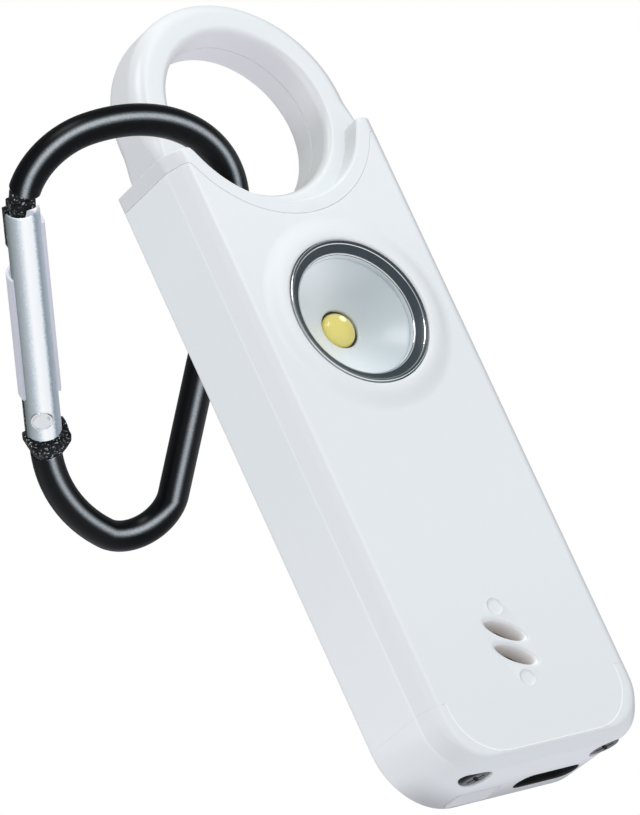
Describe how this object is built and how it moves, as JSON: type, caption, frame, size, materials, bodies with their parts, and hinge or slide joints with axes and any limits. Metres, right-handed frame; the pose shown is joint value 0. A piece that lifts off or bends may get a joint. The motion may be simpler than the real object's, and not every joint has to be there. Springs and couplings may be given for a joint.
{
  "type": "personal safety alarm",
  "caption": "Bar-shaped personal safety alarm with a front lamp, siren slots, charging socket, a pull-off top with a ring and a spring-gate carabiner.",
  "frame": {"origin": "middle of the flat end face with the charging socket", "axes": "+Z along the body to the ring, -Y out of the front with the lamp, +X to the right seen from the front"},
  "size_m": [0.0472, 0.0549, 0.0983],
  "materials": {
    "shell_white": "satin moulded",
    "screw_black": "black oxide",
    "steel": "plain",
    "bezel_dark": "dark plated",
    "lens_clear": "clear",
    "reflector_white": "bright",
    "led_yellow": "phosphor",
    "board_white": "solder mask",
    "board_green": "solder mask",
    "chip_black": "moulded",
    "cell_foil": "foil wrap",
    "foam_black": "foam",
    "disc_brass": "plain",
    "plunger_white": "moulded",
    "carabiner_black": "black satin coat",
    "gate_zinc": "bright zinc"
  },
  "bodies": {
    "body": {"housing": "shell_white", "end_cap": "shell_white", "end_screws": "screw_black", "bezel_ring": "bezel_dark", "lens_window": "lens_clear", "reflector": "reflector_white", "led_dome": "led_yellow", "led_board": "board_white", "main_board": "board_green", "board_chips": "chip_black", "usb_shell": "steel", "usb_tongue": "chip_black", "battery_cell": "cell_foil", "battery_pad": "foam_black", "battery_tabs": "steel", "siren_case": "chip_black", "siren_disc": "disc_brass", "siren_gasket": "foam_black", "switch_body": "chip_black"},
    "pull_top": {"pull_top": "shell_white", "pull_pin": "steel"},
    "plunger": {"switch_plunger": "plunger_white"},
    "carabiner": {"carabiner_body": "carabiner_black", "gate_rivet": "gate_zinc"},
    "gate": {"carabiner_gate": "gate_zinc", "gate_spring": "steel"}
  },
  "joints": [
    {"name": "pull_top_slide", "type": "slide", "parent": "body", "child": "pull_top", "axis": [0, 0, 1], "range_m": [0, 0.018]},
    {"name": "carabiner_swing", "type": "hinge", "parent": "pull_top", "child": "carabiner", "pos_m": [0, 0, 0.0834], "axis": [0, 1, 0], "range_deg": [0, 120]},
    {"name": "gate_hinge", "type": "hinge", "parent": "carabiner", "child": "gate", "pos_m": [-0.01932, 0.02881, 0.06512], "axis": [0.1827, 0.4577, 0.8701], "range_deg": [0, 15], "stiffness_Nm_per_rad": 0.02, "springref_deg": -5.73},
    {"name": "switch_plunger_slide", "type": "slide", "parent": "body", "child": "plunger", "axis": [0, 0, 1], "range_m": [0, 0.0008]}
  ],
  "couplings": [
    {"joint": "switch_plunger_slide", "follows": "pull_top_slide", "ratio": 0.0444}
  ]
}
